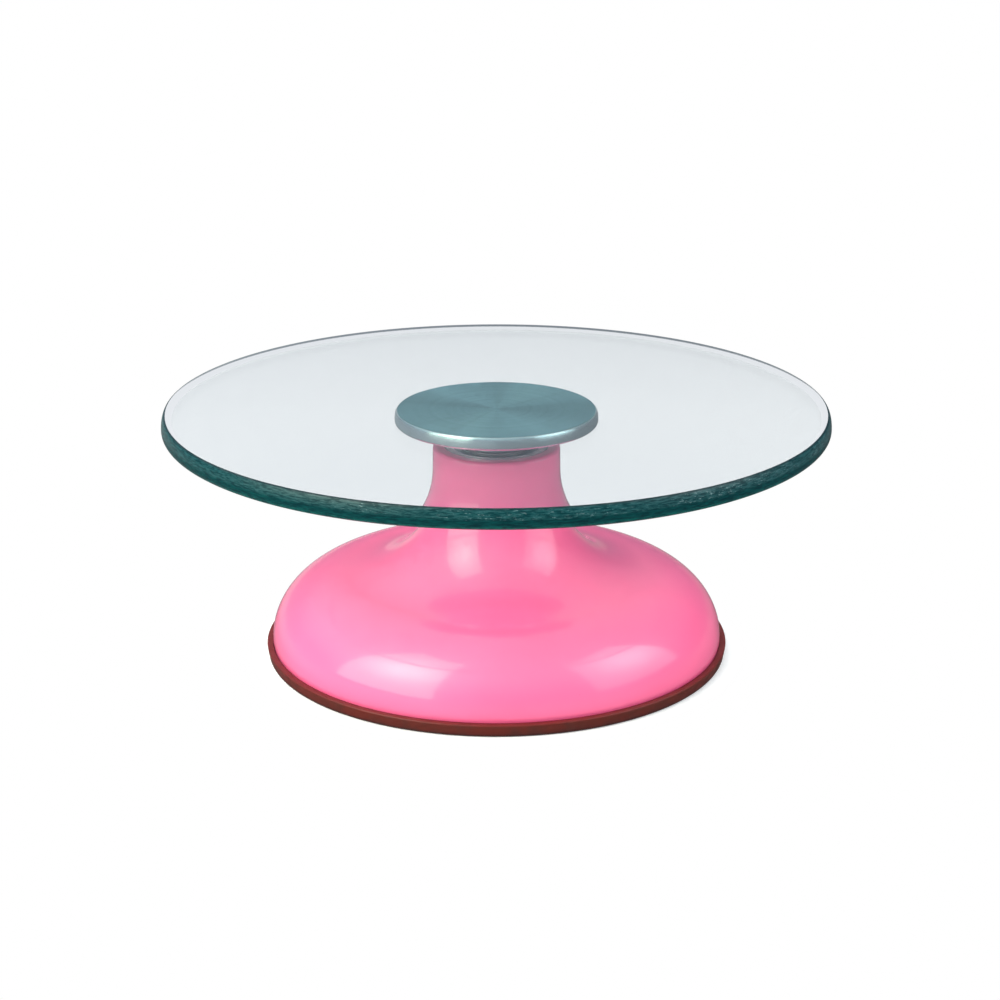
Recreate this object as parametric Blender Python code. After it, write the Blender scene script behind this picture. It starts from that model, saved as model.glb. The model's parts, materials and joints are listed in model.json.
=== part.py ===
"""Cake turntable: a glass plate on an aluminium hub that turns on two ball bearings in a cast base.

Units are metres, +Z is up, and the origin is the centre of the foot, on the surface it stands on.
The turning axis is Z. Round pieces are turned profiles: lists of (radius, height) points.
"""

from math import acos, cos, degrees, pi, radians, sin

import bmesh
import bpy
from mathutils import Color, Matrix, Vector

MM = 0.001

# Facets round each kind of turned piece.
PLATE_FACETS = 64
BODY_FACETS = 48
BEARING_FACETS = 32
SCREW_FACETS = 12
SOCKET_FACETS = 6
POCKET_FACETS = 10

# Steps along each kind of curve in a profile.
EDGE_STEPS = 3
SMALL_EDGE_STEPS = 2
COVE_STEPS = 9
DOME_STEPS = 8
INNER_COVE_STEPS = 5
INNER_DOME_STEPS = 6
RIB_COVE_STEPS = 6
RIB_DOME_STEPS = 5
GROOVE_STEP = pi / 8

# How far a cutting tool reaches past the face it cuts.
CUT_MARGIN = 1.0 * MM

# Play left between pieces that fit together.
FACE_GAP = 0.3 * MM
FIT_GAP = 0.05 * MM

# Plate. Each edge curve of the plate and the hub is a quarter ellipse of this width and height.
PLATE_RADIUS = 150.0 * MM
PLATE_TOP = 116.4 * MM
PLATE_THICKNESS = 9.6 * MM
PLATE_UPPER_EDGE = (1.9 * MM, 6.0 * MM)
PLATE_LOWER_EDGE = (4.7 * MM, 3.6 * MM)

# Hub: a disc under the plate, and a boss round the spindle.
HUB_RADIUS = 46.0 * MM
HUB_TOP = PLATE_TOP - PLATE_THICKNESS - FACE_GAP
HUB_UNDERSIDE = 100.7 * MM
HUB_UPPER_EDGE = (1.2 * MM, 4.0 * MM)
HUB_LOWER_EDGE = (1.2 * MM, 1.6 * MM)
BOSS_RADIUS = 17.5 * MM
BOSS_BOTTOM = 91.3 * MM
BOSS_CHAMFER = 0.5 * MM
BOND_RADIUS = 44.6 * MM

# Base casting.
NECK_TOP = 90.0 * MM
NECK_RADIUS = 28.92 * MM
NECK_EDGE = 1.8 * MM
WALL = 4.0 * MM
COVE_CENTRE = (70.5 * MM, 79.4 * MM)
COVE_RADIUS = 41.44 * MM
DOME_CENTRE = (68.1 * MM, 6.9 * MM)
DOME_WIDTH = 35.5 * MM
DOME_HEIGHT = 31.1 * MM
COVE_END = 268.4
DOME_START = 88.0
RIM_BOTTOM = 2.1 * MM
RIM_TAPER = 0.5 * MM
TUBE_RADIUS = 28.0 * MM
TUBE_BOTTOM = 22.0 * MM
TUBE_CHAMFER = 1.0 * MM
TUBE_ROOT = 2.0 * MM
TUBE_RELIEF_RADIUS = 21.0 * MM
SEAT_CHAMFER = 0.5 * MM
RIB_COUNT = 4
RIB_THICKNESS = 4.0 * MM
RIB_BOTTOM = 14.0 * MM
RIB_BEND_RADIUS = 60.0 * MM

# Foot ring, with a groove that grips the casting's rim.
FOOT_RADIUS = 106.3 * MM
FOOT_HEIGHT = 5.6 * MM
FOOT_DRAFT = 0.7 * MM
FOOT_INNER_RADIUS = 95.5 * MM
FOOT_INNER_HEIGHT = 4.6 * MM
FOOT_GROOVE_FLOOR = RIM_BOTTOM - FACE_GAP
FOOT_EDGE = 0.8 * MM

# Ball bearing, 20 mm bore, 47 mm outside, 14 mm wide. Heights below are from its middle.
BEARING_BORE = 10.0 * MM
BEARING_RADIUS = 23.5 * MM
BEARING_WIDTH = 14.0 * MM
BEARING_CHAMFER = 0.6 * MM
PITCH_RADIUS = 16.75 * MM
BALL_RADIUS = 3.969 * MM
BALL_COUNT = 8
BALL_SEGMENTS = 10
BALL_RINGS = 6
GROOVE_RADIUS = 4.13 * MM
OUTER_LAND_RADIUS = 19.6 * MM
INNER_LAND_RADIUS = 14.2 * MM
SHIELD_SEAT_RADIUS = 20.5 * MM
SHIELD_SEAT_HEIGHT = 5.2 * MM
SHIELD_INNER_RADIUS = 14.75 * MM
SHIELD_HEIGHT = 5.5 * MM
SHIELD_THICKNESS = 0.6 * MM
CAGE_INNER_RADIUS = 15.9 * MM
CAGE_OUTER_RADIUS = 17.6 * MM
CAGE_HALF_HEIGHT = 5.0 * MM
POCKET_RADIUS = 4.2 * MM
UPPER_MIDDLE = NECK_TOP - BEARING_WIDTH / 2
LOWER_MIDDLE = 37.0 * MM

# Spindle and what is threaded onto it.
SPINDLE_RADIUS = BEARING_BORE - FIT_GAP
SPINDLE_TOP = 102.7 * MM
SPINDLE_BOTTOM = 24.5 * MM
SPINDLE_CHAMFER = 0.8 * MM
GRIP_GROOVE_RADIUS = 9.6 * MM
GRIP_GROOVE_HALF = 2.2 * MM
SLEEVE_RADIUS = 13.6 * MM
SHIM_RADIUS = 14.0 * MM
SHIM_BOTTOM = 90.2 * MM
SHIM_TOP = 91.1 * MM
WASHER_RADIUS = 13.8 * MM
WASHER_TOP = 29.8 * MM
WASHER_BOTTOM = 28.8 * MM

# Grub screws, in the back of the boss.
SCREW_HEIGHT = 95.6 * MM
SCREW_RADIUS = 2.5 * MM
SCREW_TIP = 9.9 * MM
SCREW_HEAD = 16.9 * MM
SCREW_ANGLES = (60.0, 120.0)
SOCKET_RADIUS = 1.45 * MM
SOCKET_DEPTH = 2.5 * MM

# Retaining rings: one on the spindle, one inside the tube.
RING_THICKNESS = 1.2 * MM
SPINDLE_RING_BOTTOM = 27.3 * MM
SPINDLE_RING_SEAT = 9.2 * MM
SPINDLE_RING_RADIUS = 11.9 * MM
TUBE_RING_BOTTOM = 26.5 * MM
TUBE_RING_SEAT = 24.7 * MM
TUBE_RING_RADIUS = 21.6 * MM
LUG_LENGTH = 2.6 * MM
LUG_HOLE_RADIUS = 0.8 * MM
LUG_HOLE_FACETS = 8
RING_POINTS = 24
RING_GAP = radians(36)

# Wave washer that preloads the lower bearing.
WAVE_INNER_RADIUS = 19.9 * MM
WAVE_OUTER_RADIUS = 22.8 * MM
WAVE_THICKNESS = 0.4 * MM
WAVE_MIDDLE = 28.85 * MM
WAVE_RISE = 0.5 * MM
WAVE_COUNT = 3
WAVE_FACETS = 48

SHARP_ANGLE = radians(32)
MERGE = 1e-7


def make_material(name, srgb, metallic, roughness, alpha=1.0):
    """A Principled BSDF in one colour, given as 0 to 255 sRGB values."""
    material = bpy.data.materials.new(name)
    material.use_nodes = True
    shader = material.node_tree.nodes["Principled BSDF"]
    linear = Color([value / 255 for value in srgb]).from_srgb_to_scene_linear()
    shader.inputs["Base Color"].default_value = (*linear, 1)
    shader.inputs["Metallic"].default_value = metallic
    shader.inputs["Roughness"].default_value = roughness
    shader.inputs["Alpha"].default_value = alpha
    return material


def add_object(name, build, material, parent=None):
    """Turns a bmesh into a smooth-shaded object with outward faces. It stays where its mesh lies."""
    bmesh.ops.recalc_face_normals(build, faces=build.faces[:])
    mesh = bpy.data.meshes.new(name)
    build.to_mesh(mesh)
    build.free()
    mesh.materials.append(material)
    mesh.shade_smooth()
    mesh.set_sharp_from_angle(angle=SHARP_ANGLE)
    added = bpy.data.objects.new(name, mesh)
    bpy.context.scene.collection.objects.link(added)
    added.parent = parent
    return added


def arc(centre, width, height, start, end, steps):
    """Points on an ellipse's arc in the (radius, height) plane, from start to end in degrees."""
    angles = [radians(start + (end - start) * i / steps) for i in range(steps + 1)]
    return [(centre[0] + width * cos(a), centre[1] + height * sin(a)) for a in angles]


def turn(profile, facets, closed=True):
    """Spins a profile about Z. An open profile starts and ends on the axis."""
    build = bmesh.new()
    points = [build.verts.new((radius, 0, height)) for radius, height in profile]
    edges = [build.edges.new(pair) for pair in zip(points, points[1:])]
    if closed:
        edges.append(build.edges.new((points[-1], points[0])))
    bmesh.ops.spin(
        build,
        geom=points + edges,
        cent=(0, 0, 0),
        axis=(0, 0, 1),
        angle=2 * pi,
        steps=facets,
        use_merge=True,
    )
    bmesh.ops.remove_doubles(build, verts=build.verts[:], dist=MERGE)
    return build


def ring_profile(inner, outer, bottom, top):
    return [(outer, top), (outer, bottom), (inner, bottom), (inner, top)]


def extrude_outline(build, outline, depth):
    """Fills a flat outline and pushes it out by the depth vector."""
    face = build.faces.new([build.verts.new(point) for point in outline])
    pushed = bmesh.ops.extrude_face_region(build, geom=[face], use_keep_orig=True)
    moved = [item for item in pushed["geom"] if isinstance(item, bmesh.types.BMVert)]
    bmesh.ops.translate(build, verts=moved, vec=depth)


def radial_cylinder(build, radius, facets, start, end, angle, height):
    """A cylinder that runs outward from the axis at this angle in degrees, from start to end."""
    outward = Matrix.Rotation(radians(angle), 4, "Z") @ Matrix.Rotation(pi / 2, 4, "Y")
    place = Matrix.Translation((0, 0, height)) @ outward
    bmesh.ops.create_cone(
        build,
        cap_ends=True,
        segments=facets,
        radius1=radius,
        radius2=radius,
        depth=end - start,
        matrix=place @ Matrix.Translation((0, 0, (start + end) / 2)),
    )


def apply_tool(target, build, operation, parent=None):
    """Adds a Boolean with a hidden tool object made from this bmesh."""
    tool = add_object(f"{target.name}_tool", build, target.data.materials[0], parent)
    tool.hide_render = True
    tool.display_type = "WIRE"
    boolean = target.modifiers.new("shape", "BOOLEAN")
    boolean.operation = operation
    boolean.object = tool
    boolean.solver = "EXACT"


def add_axis(name, parent=None):
    """An empty on the turning axis, which carries the pieces that turn together."""
    axis = bpy.data.objects.new(name, None)
    bpy.context.scene.collection.objects.link(axis)
    axis.parent = parent
    return axis


def edge_curves(radius, bottom, top, upper_edge, lower_edge, steps):
    """The outer side of a disc, from its top face to its underside, between two quarter ellipses."""
    width, height = upper_edge
    upper = arc((radius - width, top - height), width, height, 90, 0, steps)
    width, height = lower_edge
    return upper, arc((radius - width, bottom + height), width, height, 0, -90, steps)


def add_plate(parent):
    bottom = PLATE_TOP - PLATE_THICKNESS
    edges = (PLATE_UPPER_EDGE, PLATE_LOWER_EDGE)
    upper, lower = edge_curves(PLATE_RADIUS, bottom, PLATE_TOP, *edges, EDGE_STEPS)
    profile = [(0, PLATE_TOP), *upper, *lower[1:], (0, bottom)]
    glass = make_material("tempered_glass", (214, 232, 230), 0.0, 0.04, 0.35)
    add_object("glass_plate", turn(profile, PLATE_FACETS, False), glass, parent)


def add_bond(parent):
    """The cured adhesive that holds the plate on the hub."""
    bottom = HUB_TOP + FIT_GAP
    top = HUB_TOP + FACE_GAP - FIT_GAP
    profile = [(0, top), (BOND_RADIUS, top), (BOND_RADIUS, bottom), (0, bottom)]
    adhesive = make_material("clear_adhesive", (226, 236, 234), 0.0, 0.1, 0.35)
    add_object("bond_film", turn(profile, BODY_FACETS, False), adhesive, parent)


def add_hub(parent):
    bore = BEARING_BORE
    edges = (HUB_UPPER_EDGE, HUB_LOWER_EDGE)
    upper, lower = edge_curves(HUB_RADIUS, HUB_UNDERSIDE, HUB_TOP, *edges, EDGE_STEPS)
    boss = [
        (BOSS_RADIUS, HUB_UNDERSIDE),
        (BOSS_RADIUS, BOSS_BOTTOM + BOSS_CHAMFER),
        (BOSS_RADIUS - BOSS_CHAMFER, BOSS_BOTTOM),
        (bore, BOSS_BOTTOM),
    ]
    blind = SPINDLE_TOP + FACE_GAP
    profile = [(0, HUB_TOP), *upper, *lower, *boss, (bore, blind), (0, blind)]
    metal = make_material("turned_aluminium", (196, 200, 204), 0.95, 0.3)
    hub = add_object("hub_flange", turn(profile, BODY_FACETS, False), metal, parent)
    holes = bmesh.new()
    for angle in SCREW_ANGLES:
        radial_cylinder(
            holes,
            SCREW_RADIUS + FIT_GAP,
            SCREW_FACETS,
            bore - CUT_MARGIN,
            BOSS_RADIUS + CUT_MARGIN,
            angle,
            SCREW_HEIGHT,
        )
    apply_tool(hub, holes, "DIFFERENCE", parent)


def add_grub_screws(steel, parent):
    for number, angle in enumerate(SCREW_ANGLES, 1):
        shank = bmesh.new()
        radial_cylinder(
            shank, SCREW_RADIUS, SCREW_FACETS, SCREW_TIP, SCREW_HEAD, angle, SCREW_HEIGHT
        )
        screw = add_object(f"grub_screw_{number}", shank, steel, parent)
        socket = bmesh.new()
        radial_cylinder(
            socket,
            SOCKET_RADIUS,
            SOCKET_FACETS,
            SCREW_HEAD - SOCKET_DEPTH,
            SCREW_HEAD + CUT_MARGIN,
            angle,
            SCREW_HEIGHT,
        )
        apply_tool(screw, socket, "DIFFERENCE", parent)


def add_spindle(steel, parent):
    """Ground shaft with a groove for the grub screws and one for its retaining ring."""
    radius = SPINDLE_RADIUS
    chamfer = SPINDLE_CHAMFER
    ring_top = SPINDLE_RING_BOTTOM + RING_THICKNESS + FIT_GAP
    ring_bottom = SPINDLE_RING_BOTTOM - FIT_GAP
    ring_seat = SPINDLE_RING_SEAT - FIT_GAP
    profile = [
        (0, SPINDLE_TOP),
        (radius - chamfer, SPINDLE_TOP),
        (radius, SPINDLE_TOP - chamfer),
        (radius, SCREW_HEIGHT + GRIP_GROOVE_HALF),
        (GRIP_GROOVE_RADIUS, SCREW_HEIGHT + GRIP_GROOVE_HALF),
        (GRIP_GROOVE_RADIUS, SCREW_HEIGHT - GRIP_GROOVE_HALF),
        (radius, SCREW_HEIGHT - GRIP_GROOVE_HALF),
        (radius, ring_top),
        (ring_seat, ring_top),
        (ring_seat, ring_bottom),
        (radius, ring_bottom),
        (radius, SPINDLE_BOTTOM + chamfer),
        (radius - chamfer, SPINDLE_BOTTOM),
        (0, SPINDLE_BOTTOM),
    ]
    add_object("spindle", turn(profile, BEARING_FACETS, False), steel, parent)


def add_spindle_rings(steel, parent):
    """The plain rings threaded onto the spindle: spacer sleeve, shim and washer."""
    half = BEARING_WIDTH / 2 + FACE_GAP
    rings = (
        ("spacer_sleeve", SLEEVE_RADIUS, LOWER_MIDDLE + half, UPPER_MIDDLE - half),
        ("hub_shim", SHIM_RADIUS, SHIM_BOTTOM, SHIM_TOP),
        ("retaining_washer", WASHER_RADIUS, WASHER_BOTTOM, WASHER_TOP),
    )
    for name, radius, bottom, top in rings:
        profile = ring_profile(BEARING_BORE + FIT_GAP, radius, bottom, top)
        add_object(name, turn(profile, BEARING_FACETS), steel, parent)


def add_retaining_ring(name, seat, free, bottom, inward, steel, parent):
    """A flat open ring with two drilled lugs. It sits in a groove of radius seat."""
    start, end = RING_GAP / 2, 2 * pi - RING_GAP / 2
    angles = [start + (end - start) * i / RING_POINTS for i in range(RING_POINTS + 1)]
    lug = free - LUG_LENGTH if inward else free + LUG_LENGTH
    lug_angle = LUG_LENGTH / lug
    seat_edge = [(seat * cos(a), seat * sin(a), bottom) for a in angles]
    lug_edge = [(lug * cos(a), lug * sin(a), bottom) for a in (end, end - lug_angle)]
    free_angles = [a for a in reversed(angles) if start + lug_angle < a < end - lug_angle]
    free_edge = [(free * cos(a), free * sin(a), bottom) for a in free_angles]
    last_lug = [(lug * cos(a), lug * sin(a), bottom) for a in (start + lug_angle, start)]
    build = bmesh.new()
    outline = [*seat_edge, *lug_edge, *free_edge, *last_lug]
    extrude_outline(build, outline, Vector((0, 0, RING_THICKNESS)))
    ring = add_object(name, build, steel, parent)
    holes = bmesh.new()
    middle = (lug + free) / 2
    for angle in (start + lug_angle / 2, end - lug_angle / 2):
        place = (middle * cos(angle), middle * sin(angle), bottom + RING_THICKNESS / 2)
        bmesh.ops.create_cone(
            holes,
            cap_ends=True,
            segments=LUG_HOLE_FACETS,
            radius1=LUG_HOLE_RADIUS,
            radius2=LUG_HOLE_RADIUS,
            depth=2 * RING_THICKNESS,
            matrix=Matrix.Translation(place),
        )
    apply_tool(ring, holes, "DIFFERENCE", parent)


def add_wave_washer(steel, parent):
    """A thin steel ring that rises and falls round its circumference."""
    build = bmesh.new()
    half = WAVE_THICKNESS / 2
    section = ((WAVE_INNER_RADIUS, -half), (WAVE_OUTER_RADIUS, -half))
    section += ((WAVE_OUTER_RADIUS, half), (WAVE_INNER_RADIUS, half))
    loops = []
    for step in range(WAVE_FACETS):
        angle = 2 * pi * step / WAVE_FACETS
        middle = WAVE_MIDDLE + WAVE_RISE * cos(WAVE_COUNT * angle)
        points = [(r * cos(angle), r * sin(angle), middle + z) for r, z in section]
        loops.append([build.verts.new(point) for point in points])
    for loop, following in zip(loops, loops[1:] + loops[:1]):
        for i, j in ((0, 1), (1, 2), (2, 3), (3, 0)):
            build.faces.new((loop[i], loop[j], following[j], following[i]))
    add_object("wave_washer", build, steel, parent)


def add_outer_race(name, middle, steel, parent):
    radius = BEARING_RADIUS - FIT_GAP
    half = BEARING_WIDTH / 2
    chamfer = BEARING_CHAMFER
    seat_height = SHIELD_SEAT_HEIGHT
    reach = ((OUTER_LAND_RADIUS - PITCH_RADIUS) / GROOVE_RADIUS) ** 2
    groove_half = GROOVE_RADIUS * (1 - reach) ** 0.5
    upper = [
        (radius, half - chamfer),
        (radius - chamfer, half),
        (SHIELD_SEAT_RADIUS, half),
        (SHIELD_SEAT_RADIUS, seat_height),
        (OUTER_LAND_RADIUS, seat_height),
        (OUTER_LAND_RADIUS, groove_half),
        (PITCH_RADIUS + GROOVE_RADIUS * cos(GROOVE_STEP), GROOVE_RADIUS * sin(GROOVE_STEP)),
    ]
    lower = [(r, -z) for r, z in reversed(upper)]
    profile = [*upper, (PITCH_RADIUS + GROOVE_RADIUS, 0), *lower]
    placed = [(r, z + middle) for r, z in profile]
    add_object(name, turn(placed, BEARING_FACETS), steel, parent)


def add_inner_race(name, middle, steel, parent):
    bore = BEARING_BORE
    half = BEARING_WIDTH / 2
    chamfer = BEARING_CHAMFER
    reach = ((PITCH_RADIUS - INNER_LAND_RADIUS) / GROOVE_RADIUS) ** 2
    groove_half = GROOVE_RADIUS * (1 - reach) ** 0.5
    upper = [
        (bore, half - chamfer),
        (bore + chamfer, half),
        (INNER_LAND_RADIUS, half),
        (INNER_LAND_RADIUS, groove_half),
        (PITCH_RADIUS - GROOVE_RADIUS * cos(GROOVE_STEP), GROOVE_RADIUS * sin(GROOVE_STEP)),
    ]
    lower = [(r, -z) for r, z in reversed(upper)]
    profile = [*upper, (PITCH_RADIUS - GROOVE_RADIUS, 0), *lower]
    placed = [(r, z + middle) for r, z in profile]
    add_object(name, turn(placed, BEARING_FACETS), steel, parent)


def add_shields(name, middle, steel, parent):
    """Pressed plates that close both sides of the bearing and clear its inner race."""
    outer = SHIELD_SEAT_RADIUS - 2 * FIT_GAP
    for side, bottom in (("top", SHIELD_HEIGHT), ("bottom", -SHIELD_HEIGHT - SHIELD_THICKNESS)):
        low = middle + bottom
        profile = ring_profile(SHIELD_INNER_RADIUS, outer, low, low + SHIELD_THICKNESS)
        add_object(f"{name}_shield_{side}", turn(profile, BEARING_FACETS), steel, parent)


def add_cage(name, middle, steel, parent):
    """A ring between the races with a pocket for each ball."""
    bottom = middle - CAGE_HALF_HEIGHT
    top = middle + CAGE_HALF_HEIGHT
    profile = ring_profile(CAGE_INNER_RADIUS, CAGE_OUTER_RADIUS, bottom, top)
    cage = add_object(f"{name}_cage", turn(profile, BEARING_FACETS), steel, parent)
    pockets = bmesh.new()
    for number in range(BALL_COUNT):
        radial_cylinder(
            pockets,
            POCKET_RADIUS,
            POCKET_FACETS,
            CAGE_INNER_RADIUS - CUT_MARGIN,
            CAGE_OUTER_RADIUS + CUT_MARGIN,
            360 * number / BALL_COUNT,
            middle,
        )
    apply_tool(cage, pockets, "DIFFERENCE", parent)


def add_balls(name, middle, steel, parent):
    for number in range(BALL_COUNT):
        angle = 2 * pi * number / BALL_COUNT
        build = bmesh.new()
        bmesh.ops.create_uvsphere(
            build, u_segments=BALL_SEGMENTS, v_segments=BALL_RINGS, radius=BALL_RADIUS
        )
        ball = add_object(f"{name}_ball_{number + 1}", build, steel, parent)
        ball.location = (PITCH_RADIUS * cos(angle), PITCH_RADIUS * sin(angle), middle)


def add_bearing(name, middle, steels, shell_axis, plate_axis):
    """Outer race and shields stay in the casting, the inner race turns with the spindle."""
    bearing_steel, shield_steel, cage_steel = steels
    cage_axis = add_axis(f"{name}_cage_axis", shell_axis)
    add_outer_race(f"{name}_outer_race", middle, bearing_steel, shell_axis)
    add_inner_race(f"{name}_inner_race", middle, bearing_steel, plate_axis)
    add_shields(name, middle, shield_steel, shell_axis)
    add_cage(name, middle, cage_steel, cage_axis)
    add_balls(name, middle, bearing_steel, cage_axis)


def shell_outline(offset, cove_start, cove_steps, dome_steps):
    """The casting's cove and dome, from the neck down, moved inward by offset."""
    radius = COVE_RADIUS + offset
    cove = arc(COVE_CENTRE, radius, radius, cove_start, COVE_END, cove_steps)
    width = DOME_WIDTH - offset
    height = DOME_HEIGHT - offset
    return cove, arc(DOME_CENTRE, width, height, DOME_START, 0, dome_steps)


def cove_angle(offset, radius):
    """The angle in degrees at which the cove, moved inward by offset, comes to this radius."""
    across = (COVE_CENTRE[0] - radius) / (COVE_RADIUS + offset)
    return 180 + degrees(acos(across))


def bearing_bore():
    """The casting's bore from its lower mouth up to the neck: two seats with shoulders between them."""
    seat = BEARING_RADIUS
    half = BEARING_WIDTH / 2 + FACE_GAP
    ring_bottom = TUBE_RING_BOTTOM - FIT_GAP
    ring_top = TUBE_RING_BOTTOM + RING_THICKNESS + FIT_GAP
    return [
        (TUBE_RADIUS, TUBE_BOTTOM + TUBE_CHAMFER),
        (TUBE_RADIUS - TUBE_CHAMFER, TUBE_BOTTOM),
        (seat + SEAT_CHAMFER, TUBE_BOTTOM),
        (seat, TUBE_BOTTOM + SEAT_CHAMFER),
        (seat, ring_bottom),
        (TUBE_RING_SEAT, ring_bottom),
        (TUBE_RING_SEAT, ring_top),
        (seat, ring_top),
        (seat, LOWER_MIDDLE + half),
        (TUBE_RELIEF_RADIUS, LOWER_MIDDLE + half),
        (TUBE_RELIEF_RADIUS, UPPER_MIDDLE - half),
        (seat, UPPER_MIDDLE - half),
        (seat, NECK_TOP - SEAT_CHAMFER),
        (seat + SEAT_CHAMFER, NECK_TOP),
    ]


def add_ribs(shell, parent):
    """Webs between the bearing tube and the shell, cast in one with them."""
    middle = WALL / 2
    inner = (TUBE_RADIUS + BEARING_RADIUS) / 2
    start = cove_angle(middle, inner + 2 * WALL)
    cove, dome = shell_outline(middle, start, RIB_COVE_STEPS, RIB_DOME_STEPS)
    top = cove[0][1]
    upper_dome = [point for point in dome if point[1] > RIB_BOTTOM]
    outline = [(inner, top), *cove, *upper_dome[1:]]
    outline.append((upper_dome[-1][0], RIB_BOTTOM))
    outline += [(RIB_BEND_RADIUS, RIB_BOTTOM), (inner, TUBE_BOTTOM + 2 * TUBE_CHAMFER)]
    ribs = bmesh.new()
    for number in range(RIB_COUNT):
        turned = Matrix.Rotation(2 * pi * (number + 0.5) / RIB_COUNT, 3, "Z")
        points = [turned @ Vector((r, -RIB_THICKNESS / 2, z)) for r, z in outline]
        extrude_outline(ribs, points, turned @ Vector((0, RIB_THICKNESS, 0)))
    apply_tool(shell, ribs, "UNION", parent)


def add_base(parent):
    edge_centre = (NECK_RADIUS - NECK_EDGE, NECK_TOP - NECK_EDGE)
    edge = arc(edge_centre, NECK_EDGE, NECK_EDGE, 90, 0, EDGE_STEPS)
    cove, dome = shell_outline(0, 180, COVE_STEPS, DOME_STEPS)
    hollow_top = cove_angle(WALL, TUBE_RADIUS + TUBE_ROOT)
    inner_cove, inner_dome = shell_outline(WALL, hollow_top, INNER_COVE_STEPS, INNER_DOME_STEPS)
    rim_outer = dome[-1][0] - RIM_TAPER
    rim_inner = inner_dome[-1][0] - RIM_TAPER
    outside = [*edge, *cove, *dome[1:], (rim_outer, RIM_BOTTOM), (rim_inner, RIM_BOTTOM)]
    hollow = [*reversed(inner_dome[1:]), *reversed(inner_cove), (TUBE_RADIUS, inner_cove[0][1])]
    enamel = make_material("pink_enamel", (247, 120, 172), 0.0, 0.16)
    profile = [*outside, *hollow, *bearing_bore()]
    shell = add_object("base_shell", turn(profile, BODY_FACETS), enamel, parent)
    add_ribs(shell, parent)


def add_foot_ring(parent):
    rim_outer = DOME_CENTRE[0] + DOME_WIDTH - RIM_TAPER
    rim_inner = rim_outer - WALL
    groove_outer = rim_outer + RIM_TAPER + FIT_GAP
    groove_inner = rim_inner - FACE_GAP
    edge = FOOT_EDGE
    upper_centre = (FOOT_RADIUS - edge, FOOT_HEIGHT - edge)
    lower_centre = (FOOT_RADIUS - FOOT_DRAFT - edge, edge)
    upper = arc(upper_centre, edge, edge, 90, 0, SMALL_EDGE_STEPS)
    lower = arc(lower_centre, edge, edge, 0, -90, SMALL_EDGE_STEPS)
    profile = [
        (groove_outer, FOOT_HEIGHT),
        *upper,
        *lower,
        (FOOT_INNER_RADIUS, 0),
        (FOOT_INNER_RADIUS, FOOT_INNER_HEIGHT),
        (groove_inner, FOOT_INNER_HEIGHT),
        (groove_inner, FOOT_GROOVE_FLOOR),
        (groove_outer, FOOT_GROOVE_FLOOR),
    ]
    rubber = make_material("brown_rubber", (104, 52, 44), 0.0, 0.6)
    add_object("foot_ring", turn(profile, BODY_FACETS), rubber, parent)


def main():
    for leftover in list(bpy.data.objects):
        bpy.data.objects.remove(leftover, do_unlink=True)
    bearing_steel = make_material("bearing_steel", (204, 206, 210), 0.95, 0.14)
    ground_steel = make_material("ground_steel", (188, 190, 192), 0.95, 0.22)
    shield_steel = make_material("shield_steel", (150, 152, 156), 0.9, 0.42)
    cage_steel = make_material("cage_steel", (132, 126, 116), 0.9, 0.45)
    spring_steel = make_material("spring_steel", (96, 94, 96), 0.9, 0.38)
    screw_steel = make_material("black_screw_steel", (52, 52, 56), 0.8, 0.4)

    shell_axis = add_axis("base_axis")
    plate_axis = add_axis("plate_axis", shell_axis)

    add_base(shell_axis)
    add_foot_ring(shell_axis)
    steels = (bearing_steel, shield_steel, cage_steel)
    add_bearing("upper", UPPER_MIDDLE, steels, shell_axis, plate_axis)
    add_bearing("lower", LOWER_MIDDLE, steels, shell_axis, plate_axis)
    add_wave_washer(spring_steel, shell_axis)
    add_retaining_ring(
        "seat_circlip",
        TUBE_RING_SEAT - 2 * FIT_GAP,
        TUBE_RING_RADIUS,
        TUBE_RING_BOTTOM,
        True,
        spring_steel,
        shell_axis,
    )

    add_spindle(ground_steel, plate_axis)
    add_spindle_rings(ground_steel, plate_axis)
    add_retaining_ring(
        "spindle_circlip",
        SPINDLE_RING_SEAT + 2 * FIT_GAP,
        SPINDLE_RING_RADIUS,
        SPINDLE_RING_BOTTOM,
        False,
        spring_steel,
        plate_axis,
    )
    add_hub(plate_axis)
    add_grub_screws(screw_steel, plate_axis)
    add_bond(plate_axis)
    add_plate(plate_axis)


main()
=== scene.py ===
import json
from math import atan2, cos, degrees, pi, radians, sin, sqrt, tan

import bmesh
import bpy
from mathutils import Color, Matrix, Vector

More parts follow.
